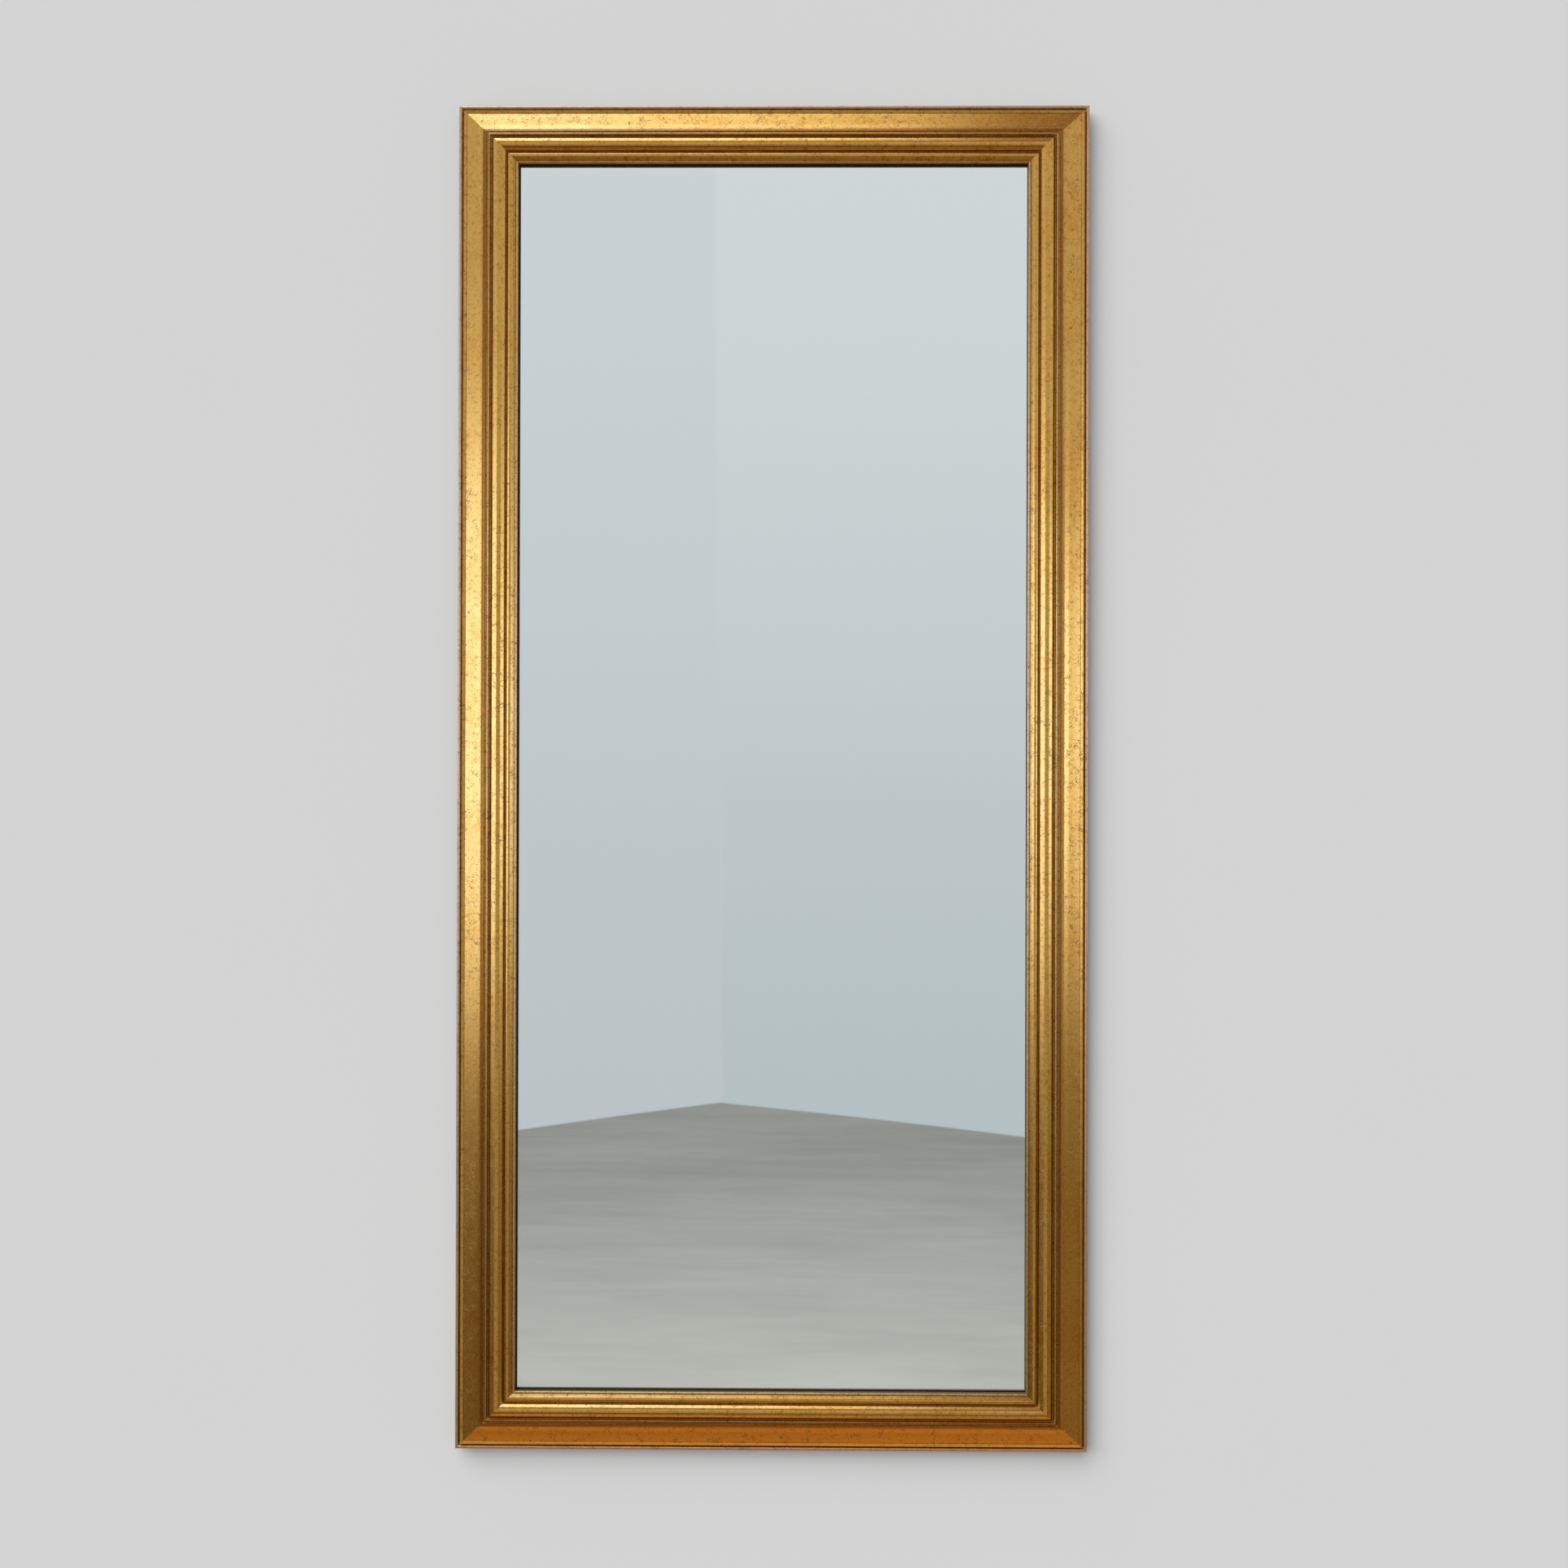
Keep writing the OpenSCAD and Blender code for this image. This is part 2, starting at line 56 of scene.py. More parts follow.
class Flow:
    def __init__(self, tree, socket=None):
        self.tree = tree
        self.socket = socket

    def node(self, kind, settings=None, links=None, out=0):
        made = self.tree.nodes.new("ShaderNode" + kind)
        for name, value in (settings or {}).items():
            if name == "stops":
                self.fillRamp(made.color_ramp, value)
            else:
                setattr(made, name, value)
        for name, value in (links or {}).items():
            if isinstance(value, Flow):
                self.tree.links.new(value.socket, made.inputs[name])
            else:
                made.inputs[name].default_value = value
        return Flow(self.tree, made.outputs[out])

    def fillRamp(self, ramp, stops):
        while len(ramp.elements) < len(stops):
            ramp.elements.new(1.0)
        for element, (place, tone) in zip(ramp.elements, stops):
            element.position = place
            element.color = (*tone, 1.0) if hasattr(tone, "__len__") else (tone, tone, tone, 1.0)

    def math(self, operation, *others, clamp=False):
        links = {0: self}
        for slot, other in enumerate(others):
            links[slot + 1] = other
        return self.node("Math", {"operation": operation, "use_clamp": clamp}, links)

    def turned(self, operation, other):  # other comes first
        return self.node("Math", {"operation": operation}, {0: other, 1: self})

    def __add__(self, other):
        return self.math("ADD", other)

    def __radd__(self, other):
        return self.turned("ADD", other)

    def __sub__(self, other):
        return self.math("SUBTRACT", other)

    def __rsub__(self, other):
        return self.turned("SUBTRACT", other)

    def __mul__(self, other):
        return self.math("MULTIPLY", other)

    def __rmul__(self, other):
        return self.turned("MULTIPLY", other)

    def __truediv__(self, other):
        return self.math("DIVIDE", other)

    def __rtruediv__(self, other):
        return self.turned("DIVIDE", other)

    def __neg__(self):
        return self.math("MULTIPLY", -1.0)

    def __abs__(self):
        return self.math("ABSOLUTE")

    def above(self, edge):
        return self.math("GREATER_THAN", edge)

    def below(self, edge):
        return self.math("LESS_THAN", edge)

    def least(self, other):
        return self.math("MINIMUM", other)

    def most(self, other):
        return self.math("MAXIMUM", other)

    def clamped(self):
        return self.math("ADD", 0.0, clamp=True)

    def step(self, low, high, start=0.0, end=1.0):  # eases from start to end between low and high
        settings = {"interpolation_type": "SMOOTHSTEP"}
        return self.node("MapRange", settings, {0: self, 1: low, 2: high, 3: start, 4: end})

    def fade(self, low, high):
        return self.step(low, high, 1.0, 0.0)

    def spread(self, low, high, start, end):  # the same in a straight line
        return self.node("MapRange", {"clamp": True}, {0: self, 1: low, 2: high, 3: start, 4: end})

    def ramp(self, *stops):
        return self.node("ValToRGB", {"stops": stops}, {0: self})

    def blend(self, first, second):  # the flow is the factor between two colours
        return self.node("Mix", {"data_type": "RGBA"}, {0: self, 6: paint(first), 7: paint(second)}, out=2)

    def choose(self, first, second):  # the flow is the factor between two numbers
        return self.node("Mix", {"data_type": "FLOAT"}, {0: self, 2: first, 3: second})

    def parts(self):
        split = self.tree.nodes.new("ShaderNodeSeparateXYZ")
        self.tree.links.new(self.socket, split.inputs[0])
        return [Flow(self.tree, out) for out in split.outputs]

    def times(self, vector):  # the flow is a number, and the result a vector or a colour
        return self.node("VectorMath", {"operation": "SCALE"}, {0: vector, 3: self})

    def scaled(self, x, y, z):
        return self.node("VectorMath", {"operation": "MULTIPLY"}, {0: self, 1: (x, y, z)})

    def moved(self, vector):
        return self.node("VectorMath", {"operation": "ADD"}, {0: self, 1: vector})

    def noise(self, scale, detail=2.0, rough=0.5, warp=0.0):
        links = {"Vector": self, "Scale": scale, "Detail": detail, "Roughness": rough, "Distortion": warp}
        return self.node("TexNoise", None, links)

    def cells(self, scale, out=0):  # 0 is the distance, 1 the cell's random colour
        return self.node("TexVoronoi", None, {"Vector": self, "Scale": scale}, out)


def paint(tone):
    return tone if isinstance(tone, Flow) else (*tone, 1.0)


def newMaterial(name):
    made = bpy.data.materials.new(name)
    made.use_nodes = True
    tree = made.node_tree
    tree.nodes.clear()
    place = Flow(tree).node("TexCoord", out=3)
    return made, tree, place


def finishMaterial(tree, sockets, bump=None, bumpDepth=0.0):
    # sockets names the shader's inputs; bump is a height from 0 to 1, bumpDepth its depth in metres
    shader = tree.nodes.new("ShaderNodeBsdfPrincipled")
    out = tree.nodes.new("ShaderNodeOutputMaterial")
    tree.links.new(shader.outputs[0], out.inputs[0])
    for name, value in sockets.items():
        if isinstance(value, Flow):
            tree.links.new(value.socket, shader.inputs[name])
        elif hasattr(value, "__len__"):
            shader.inputs[name].default_value = (*value, 1.0)
        else:
            shader.inputs[name].default_value = value
    if bump is not None:
        normal = Flow(tree).node("Bump", None, {"Strength": 1.0, "Distance": bumpDepth, "Height": bump})
        tree.links.new(normal.socket, shader.inputs["Normal"])
    return shader


def meshPiece(name, mesh, material=None):
    data = bpy.data.meshes.new(name)
    mesh.to_mesh(data)
    mesh.free()
    made = bpy.data.objects.new(name, data)
    bpy.context.scene.collection.objects.link(made)
    if material:
        made.data.materials.append(material)
    return made


# Camera, at the photograph's viewing place

camera = {
    "place": (0.13, -2.42, -0.0148),
    "yaw": 0.55,  # degrees, towards -X
    "pitch": 0.16,
    "roll": -0.152,
    "lens": 43.475,
    "sensor": 36.0,
    "shift": -0.0463,
}


def makeCamera():
    data = bpy.data.cameras.new("camera")
    data.lens = camera["lens"]
    data.sensor_width = camera["sensor"]
    data.shift_x = camera["shift"]
    made = bpy.data.objects.new("camera", data)
    turn = Matrix.Rotation(math.radians(camera["yaw"]), 4, "Z")
    turn = turn @ Matrix.Rotation(math.radians(camera["pitch"]), 4, "X")
    turn = turn @ Matrix.Rotation(math.radians(camera["roll"]), 4, "Y")
    turn = turn @ Matrix.Rotation(math.radians(90.0), 4, "X")
    made.matrix_world = Matrix.Translation(camera["place"]) @ turn
    bpy.context.scene.collection.objects.link(made)
    bpy.context.scene.camera = made


makeCamera()
print("camera set")


# Wall, floor and light

studio = {
    "wallTone": (0.70, 0.70, 0.70),
    "wallNoise": (3.0, 3.0),
    "wallMottle": (0.995, 1.005),
    "wallSize": 14.0,
    "wallSink": 0.5 * mm,  # behind the wall's plane
    "floorTone": (0.62, 0.61, 0.59),
    "floorNoise": (2.0, 4.0),
    "floorMottle": (0.96, 1.04),
    "floorZ": -1.4,
    "roughness": 0.9,
    "ambient": 0.24,
    "sunStrength": 3.04,
    "sunAngle": 72.0,  # degrees across
    "sunFrom": (-0.56, -1.0, 0.78),
    "backSunStrength": 1.2,
    "backSunFrom": (0.4, 1.0, 0.6),
}

# The glass and the gilding mirror a room that is drawn by direction: az is degrees towards +X from
# straight out of the mirror, and el degrees up. A pair is where a change begins and where it ends
room = {
    "turned": -2.83,  # the whole room round the mirror
    "cornerAz": -7.5,  # where two plain walls meet
    "cornerLean": -0.012,
    "cornerSoft": 0.12,
    "wallRise": (-14.0, 20.0),
    "leftWall": ((0.545, 0.57, 0.595), (0.655, 0.675, 0.695)),  # its tone low down and high up
    "rightWall": ((0.50, 0.55, 0.565), (0.69, 0.71, 0.725)),
    "cornerFoot": -9.38,
    "leftFootSlope": 0.115,
    "rightFootSlope": -0.105,
    "footSoft": 0.04,
    "floorBelow": 1.38,  # metres
    "leastFall": 0.02,  # the flattest ray that is followed to the floor
    "floorFar": (0.305, 0.30, 0.285),
    "floorNear": (0.52, 0.515, 0.475),
    "nearFall": (0.17, 0.31),
    "mottleStretch": (0.7, 1.0, 1.0),
    "mottle": (0.9, 5.0, 0.62),  # a noise's scale, detail, roughness and warp
    "mottleShare": 0.45,
    "streakStretch": (0.5, 2.2, 1.0),
    "streak": (2.2, 4.0, 0.6, 0.4),
    "streakShare": 0.35,
}

# Only the gilding and the fittings see to the sides, below, above and behind
surround = {
    "aside": (18.0, 30.0),
    "lowAside": (-9.0, -5.0),
    "lowAhead": (-26.0, -20.0),
    "dimLeft": (0.185, 0.135, 0.065),
    "dimRight": (0.215, 0.16, 0.085),
    "deepRight": (0.29, 0.215, 0.115),
    "deepFall": (-19.0, -9.0),
    "edgeRight": (0.36, 0.27, 0.15),
    "edgeAz": (74.0, 90.0),
    "warm": (0.57, 0.41, 0.22),  # the floor close under the frame
    "warmFall": (-50.0, -43.0),
    "ceiling": (0.22, 0.11, 0.055),
    "ceilingRise": (26.0, 36.0),
    "besideLeft": (0.2, 0.135, 0.07),
    "besideLow": (0.3, 0.2, 0.1),
    "besideHigh": (0.62, 0.42, 0.24),
    "besideRise": (4.0, 16.0),
    "besideFromLeft": (96.0, 104.0),
    "besideFromRight": (104.0, 118.0),
    "behind": (0.36, 0.25, 0.14),
    "behindLow": (0.5, 0.34, 0.17),
    "behindLowZ": -0.5,
    "behindAz": (136.0, 150.0),
    "rearLow": (0.42, 0.42, 0.42),  # what the fittings on the back see
    "rearHigh": (1.1, 1.1, 1.12),
    "rearRise": (-10.0, 40.0),
    "rearY": (0.62, 0.8),
}

# Three large soft lights. A span is where a light begins, where it ends and how softly. A fall is
# where its power changes: from, to, and the power at each
lights = {
    "left": {"azSpan": (-94.0, -24.0, 4.0), "elSpan": (-5.4, 10.4, 4.0), "power": 2.45},
    "right": {"azSpan": (31.5, 79.0, 4.0), "elSpan": (-3.6, 7.6, 3.0), "azFall": (36.0, 58.0, 2.1, 2.5)},
    # lean is degrees towards +X from the upright plane, over degrees up and on over the top
    "top": {"leanSpan": (-60.0, 0.55, 0.5), "overSpan": (44.0, 112.0, 6.0), "skew": 0.02, "skewFrom": 50.0,
            "leanFall": (-10.6, -1.1, 2.2, 1.2), "overFall": (56.0, 66.0, 1.0, 1.2)},
    "brightest": 2.5,
    "rim": (0.02, 0.2),
    # a light's colour at each level, as a share of the brightest: warm at its rim, cold at its core
    "glow": ((0.0, (0.2, 0.12, 0.05)), (0.1, (0.34, 0.25, 0.15)), (0.2, (0.56, 0.5, 0.35)),
             (0.32, (0.9, 0.82, 0.62)), (0.4, (1.1, 1.03, 0.88)), (0.56, (1.45, 1.48, 1.4)),
             (0.8, (1.75, 2.15, 3.2)), (1.0, (1.9, 2.6, 4.6))),
}


def softSpan(value, low, high, soft):
    return value.step(low - soft, low + soft) * value.fade(high - soft, high + soft)


def plainFloor(along):
    down = -along.parts()[2]
    spot = (room["floorBelow"] / down.most(room["leastFall"])).times(along)
    mottle = spot.scaled(*room["mottleStretch"]).noise(*room["mottle"])
    streak = spot.scaled(*room["streakStretch"]).noise(*room["streak"])
    cloud = (mottle - 0.5) * room["mottleShare"] + (streak - 0.5) * room["streakShare"] + 1.0
    return cloud.times(down.step(*room["nearFall"]).blend(room["floorFar"], room["floorNear"]))


def plainRoom(along, az, el, onRight):  # two plain walls over a concrete floor
    rise = el.step(*room["wallRise"])
    walls = onRight.blend(rise.blend(*room["leftWall"]), rise.blend(*room["rightWall"]))
    fromCorner = az - room["cornerAz"]
    leftFoot = fromCorner * room["leftFootSlope"] + room["cornerFoot"]
    rightFoot = fromCorner * room["rightFootSlope"] + room["cornerFoot"]
    below = onRight.choose(leftFoot, rightFoot) - el
    return below.step(-room["footSoft"], room["footSoft"]).blend(walls, plainFloor(along))


def allRound(picture, az, el, z, onRight):
    far = surround
    dimRight = el.fade(*far["deepFall"]).blend(far["dimRight"], far["deepRight"])
    dimRight = az.step(*far["edgeAz"]).blend(dimRight, far["edgeRight"])
    dim = onRight.blend(far["dimLeft"], dimRight)
    low = (abs(az).step(*far["aside"]) * el.fade(*far["lowAside"])).most(el.fade(*far["lowAhead"]))
    picture = low.blend(picture, dim)
    picture = el.fade(*far["warmFall"]).blend(picture, far["warm"])
    picture = el.step(*far["ceilingRise"]).blend(picture, far["ceiling"])
    besideRight = el.step(*far["besideRise"]).blend(far["besideLow"], far["besideHigh"])
    beside = onRight.blend(far["besideLeft"], besideRight)
    behind = z.below(far["behindLowZ"]).blend(far["behind"], far["behindLow"])
    behind = abs(az).fade(*far["behindAz"]).blend(behind, beside)
    turnedAway = az.step(*far["besideFromRight"]).most((-az).step(*far["besideFromLeft"]))
    return turnedAway.blend(picture, behind)


def lightLevel(az, el, lean, over):
    left, right, top = lights["left"], lights["right"], lights["top"]
    leftLevel = softSpan(az, *left["azSpan"]) * softSpan(el, *left["elSpan"]) * left["power"]
    rightPower = az.spread(*right["azFall"])
    rightLevel = softSpan(az, *right["azSpan"]) * softSpan(el, *right["elSpan"]) * rightPower
    skewed = lean - (over - top["skewFrom"]) * top["skew"]
    topPower = lean.spread(*top["leanFall"]) * over.spread(*top["overFall"])
    topLevel = softSpan(skewed, *top["leanSpan"]) * softSpan(over, *top["overSpan"]) * topPower
    return leftLevel.most(rightLevel).most(topLevel) / lights["brightest"]


def roomLight(tree):  # what the plate sees, and what the gilding and the fittings see
    along = Flow(tree).node("TexCoord", out=0)  # where a ray points
    turned = {"Vector": along, "Angle": math.radians(room["turned"])}
    along = Flow(tree).node("VectorRotate", {"rotation_type": "Z_AXIS"}, turned)
    x, y, z = along.parts()
    degrees = 180.0 / math.pi
    az = x.math("ARCTAN2", -y) * degrees
    el = z.math("ARCSINE") * degrees
    lean = x.math("ARCSINE") * degrees
    over = z.math("ARCTAN2", -y) * degrees
    cornerAt = el * room["cornerLean"] + room["cornerAz"]
    onRight = (az - cornerAt).step(-room["cornerSoft"], room["cornerSoft"])
    plateView = plainRoom(along, az, el, onRight)
    level = lightLevel(az, el, lean, over)
    unlit = allRound(plateView, az, el, z, onRight)
    front = level.step(*lights["rim"]).blend(unlit, level.ramp(*lights["glow"]))
    rear = el.step(*surround["rearRise"]).blend(surround["rearLow"], surround["rearHigh"])
    return plateView, y.step(*surround["rearY"]).blend(front, rear)


def makeWorld():
    world = bpy.data.worlds.new("studio")
    bpy.context.scene.world = world
    world.use_nodes = True
    world.cycles.sampling_method = "NONE"
    tree = world.node_tree
    tree.nodes.clear()
    ray = tree.nodes.new("ShaderNodeLightPath")
    throughGlass = Flow(tree, ray.outputs["Is Transmission Ray"])
    mirrored = Flow(tree, ray.outputs["Is Glossy Ray"]).most(throughGlass)
    bounces = Flow(tree, ray.outputs["Diffuse Depth"])  # how many dull surfaces a ray has left
    mirrored = mirrored * bounces.below(0.5)
    fromBehind = Flow(tree).node("TexCoord", out=0).parts()[1].above(0.0)
    # dull rays pass the stage wall, so after two bounces what comes from behind it is dark
    spent = bounces.above(1.5) * fromBehind
    ambient = spent.blend([studio["ambient"]] * 3, (0, 0, 0))
    seen = Flow(tree, ray.outputs["Is Camera Ray"])
    plain = seen.blend(ambient, studio["wallTone"])
    plateView, metalView = roomLight(tree)
    tone = mirrored.blend(plain, throughGlass.blend(metalView, plateView))
    light = tree.nodes.new("ShaderNodeBackground")
    out = tree.nodes.new("ShaderNodeOutputWorld")
    tree.links.new(tone.socket, light.inputs["Color"])
    tree.links.new(light.outputs[0], out.inputs["Surface"])


def makeSun(name, strength, angle, source, direct=False):
    data = bpy.data.lights.new(name, "SUN")
    data.energy = strength
    if direct:  # lights only what the camera sees, so that nothing leaks round the frame onto the wall
        data.use_nodes = True
        tree = data.node_tree
        ray = tree.nodes.new("ShaderNodeLightPath")
        first = Flow(tree, ray.outputs["Diffuse Depth"]).below(0.5)
        glow = next(n for n in tree.nodes if n.type == "EMISSION")
        tree.links.new(first.socket, glow.inputs["Strength"])
    data.angle = math.radians(angle)
    made = bpy.data.objects.new(name, data)
    made.rotation_mode = "QUATERNION"
    made.rotation_quaternion = Vector(source).to_track_quat("Z", "Y")
    made.visible_glossy = False
    made.visible_transmission = False
    made.visible_camera = False
    bpy.context.scene.collection.objects.link(made)


def wallMaterial():
    made, tree, place = newMaterial("painted wall")
    tone = place.noise(*studio["wallNoise"]).choose(*studio["wallMottle"]).times(studio["wallTone"])
    sockets = {"Base Color": tone, "Roughness": studio["roughness"], "Specular IOR Level": 0.0}
    shader = finishMaterial(tree, sockets)
    out = next(n for n in tree.nodes if n.type == "OUTPUT_MATERIAL")
    clear = Flow(tree).node("BsdfTransparent")
    behind = Flow(tree).node("NewGeometry", out=6)  # seen from behind, the wall is clear
    both = Flow(tree).node("MixShader", None, {0: behind, 1: Flow(tree, shader.outputs[0]), 2: clear})
    tree.links.new(both.socket, out.inputs[0])
    return made


def floorMaterial():
    made, tree, place = newMaterial("pale floor")
    tone = place.noise(*studio["floorNoise"]).choose(*studio["floorMottle"]).times(studio["floorTone"])
    finishMaterial(tree, {"Base Color": tone, "Roughness": studio["roughness"], "Specular IOR Level": 0.0})
    return made


def makeStage():
    half = studio["wallSize"] / 2
    wall = bmesh.new()
    bmesh.ops.create_grid(wall, x_segments=1, y_segments=1, size=half)
    bmesh.ops.rotate(wall, verts=wall.verts, cent=(0, 0, 0), matrix=Matrix.Rotation(math.pi / 2, 3, "X"))
    bmesh.ops.translate(wall, verts=wall.verts, vec=(0, studio["wallSink"], half + studio["floorZ"]))
    wallPiece = meshPiece("stage_wall", wall, wallMaterial())
    floor = bmesh.new()
    bmesh.ops.create_grid(floor, x_segments=1, y_segments=1, size=half)
    bmesh.ops.translate(floor, verts=floor.verts, vec=(0, 0, studio["floorZ"]))
    floorPiece = meshPiece("stage_floor", floor, floorMaterial())
    for piece in (wallPiece, floorPiece):
        piece.visible_glossy = False
        piece.visible_transmission = False
        piece.visible_diffuse = False
        piece.visible_shadow = False


makeWorld()
makeSun("key", studio["sunStrength"], studio["sunAngle"], studio["sunFrom"])
makeSun("back", studio["backSunStrength"], studio["sunAngle"], studio["backSunFrom"], direct=True)
makeStage()
print("studio lit")


# The moulding: one section, drawn as a chain of lines and arcs, then run along each rail

moulding = {  # millimetres, as in the construction
    "width": 79.0,
    "crown": 36.8,
    "outerBead": 4.4,
    "outerEdge": 14.6,
    "quirk": 2.2,
    "fillet": 3.4,
    "filletRise": 1.4,
    "filletFall": 0.9,
    "band": 14.6,
    "bandRise": 4.2,
    "bandCrown": 0.08,
    "cove": 13.0,
    "coveLip": 0.5,
    "spring": 32.0,
    "smallBead": 3.2,
    "torus": 17.4,
    "cushion": 6.8,
    "cushionRise": 1.3,
    "bevel": 3.2,
    "bevelFall": 2.2,
    "innerBead": 3.1,
    "sightFlat": 0.4,
    "rebate": 9.5,
    "rebateDepth": 24.4,
    "arris": 0.22,
    # degrees: a corner of the section is rounded if its lines meet at less than the first, and an edge
    # between two faces is drawn sharp if they turn by more than the second
    "sharpTurn": 158,
    "creaseTurn": 34,
    # how many lines make each round part
    "arrisSteps": 3,
    "beadSteps": 14,
    "quirkSteps": 10,
    "coveSteps": 18,
    "torusSteps": 32,
    "bandSteps": 4,
}


class Pen:  # draws in millimetres: x in from the rail's outer edge, y up from its back
    def __init__(self, x, y):
        self.mesh = bmesh.new()
        self.tip = self.mesh.verts.new((x, y, 0))

    def line(self, x, y):
        made = bmesh.ops.extrude_vert_indiv(self.mesh, verts=[self.tip])
        self.tip = made["verts"][0]
        self.tip.co = (x, y, 0)

    def arc(self, cx, cy, degrees, steps):
        made = bmesh.ops.spin(self.mesh, geom=[self.tip], cent=(cx, cy, 0), axis=(0, 0, 1),
                              angle=math.radians(degrees), steps=steps)
        self.tip = next(part for part in made["geom_last"] if isinstance(part, bmesh.types.BMVert))

    def bulge(self, x, y, rise, steps):
        # a round member that stands up over the chord to (x, y), or a hollow where rise is less than 0
        start = self.tip.co.copy()
        chord = Vector((x, y, 0)) - start
        radius = (chord.length ** 2 / 4 + rise * rise) / (2 * abs(rise))
        half = math.degrees(math.asin(min(1.0, chord.length / 2 / radius)))
        if abs(rise) > chord.length / 2:
            half = 180 - half
        side = Vector((-chord.y, chord.x, 0)).normalized()
        middle = (start + Vector((x, y, 0))) / 2 + side * (rise - math.copysign(radius, rise))
        self.arc(middle.x, middle.y, -2 * half if rise > 0 else 2 * half, steps)

    def close(self):
        bmesh.ops.remove_doubles(self.mesh, verts=self.mesh.verts, dist=1e-4)


def membersAcross():
    m = moulding
    at = {"quirkA": m["outerBead"]}
    at["fillet"] = at["quirkA"] + m["quirk"]
    at["band"] = at["fillet"] + m["fillet"]
    at["innerBead"] = m["width"] - m["sightFlat"] - m["innerBead"]
    at["bevel"] = at["innerBead"] - m["bevel"]
    at["cushion"] = at["bevel"] - m["cushion"]
    at["quirkD"] = at["cushion"] - m["quirk"]
    at["torus"] = at["quirkD"] - m["torus"]
    at["quirkC"] = at["torus"] - m["quirk"]
    at["smallBead"] = at["quirkC"] - m["smallBead"]
    at["quirkB"] = at["smallBead"] - m["quirk"]
    at["coveTop"] = at["quirkB"] - m["coveLip"]
    at["cove"] = at["coveTop"] - m["cove"]
    at["rebate"] = m["width"] - m["rebate"]
    return at


across = membersAcross()


def drawSection():
    m, at = moulding, across
    spring = m["spring"]
    sight = spring - m["bevelFall"]
    outer = m["outerEdge"] - m["outerBead"] / 2
    bandTop = m["band"] + m["bandRise"]
    bandSlope = math.atan2(m["bandRise"], at["cove"] - at["band"])
    coveSlope = math.atan2(spring - bandTop, m["cove"])
    coveChord = math.hypot(m["cove"], spring - bandTop)
    coveRise = coveChord / 2 * math.tan((coveSlope - bandSlope) / 2)
    bead, quirk = m["beadSteps"], m["quirkSteps"]
    pen = Pen(0, 0)
    pen.line(0, outer)
    pen.bulge(at["quirkA"], outer, m["outerBead"] / 2, bead)
    pen.bulge(at["fillet"], outer, -m["quirk"] / 2, quirk)
    pen.line(at["fillet"], m["band"] + m["filletRise"])
    pen.line(at["band"], m["band"] + m["filletRise"] - m["filletFall"])
    pen.line(at["band"], m["band"])
    pen.bulge(at["cove"], bandTop, m["bandCrown"], m["bandSteps"])
    pen.bulge(at["coveTop"], spring, -coveRise, m["coveSteps"])
    pen.line(at["quirkB"], spring)
    pen.bulge(at["smallBead"], spring, -m["quirk"] / 2, quirk)
    pen.bulge(at["quirkC"], spring, m["smallBead"] / 2, bead)
    pen.bulge(at["torus"], spring, -m["quirk"] / 2, quirk)
    pen.bulge(at["quirkD"], spring, m["crown"] - spring, m["torusSteps"])
    pen.bulge(at["cushion"], spring, -m["quirk"] / 2, quirk)
    pen.bulge(at["bevel"], spring, m["cushionRise"], bead)
    pen.line(at["innerBead"], sight)
    pen.bulge(at["innerBead"] + m["innerBead"], sight, m["innerBead"] / 2, bead)
    pen.line(m["width"], sight)
    pen.line(m["width"], m["rebateDepth"])
    pen.line(at["rebate"], m["rebateDepth"])
    pen.line(at["rebate"], 0)
    pen.line(0, 0)
    pen.close()
    return pen.mesh


def roundArrises(section):
    sharp = []
    for vert in section.verts:
        ways = [(edge.other_vert(vert).co - vert.co).normalized() for edge in vert.link_edges]
        if len(ways) == 2 and ways[0].angle(ways[1]) < math.radians(moulding["sharpTurn"]):
            sharp.append(vert)
    bmesh.ops.bevel(section, geom=sharp, offset=moulding["arris"], offset_type="OFFSET", profile=0.5,
                    segments=moulding["arrisSteps"], affect="VERTICES", material=-1, clamp_overlap=True)


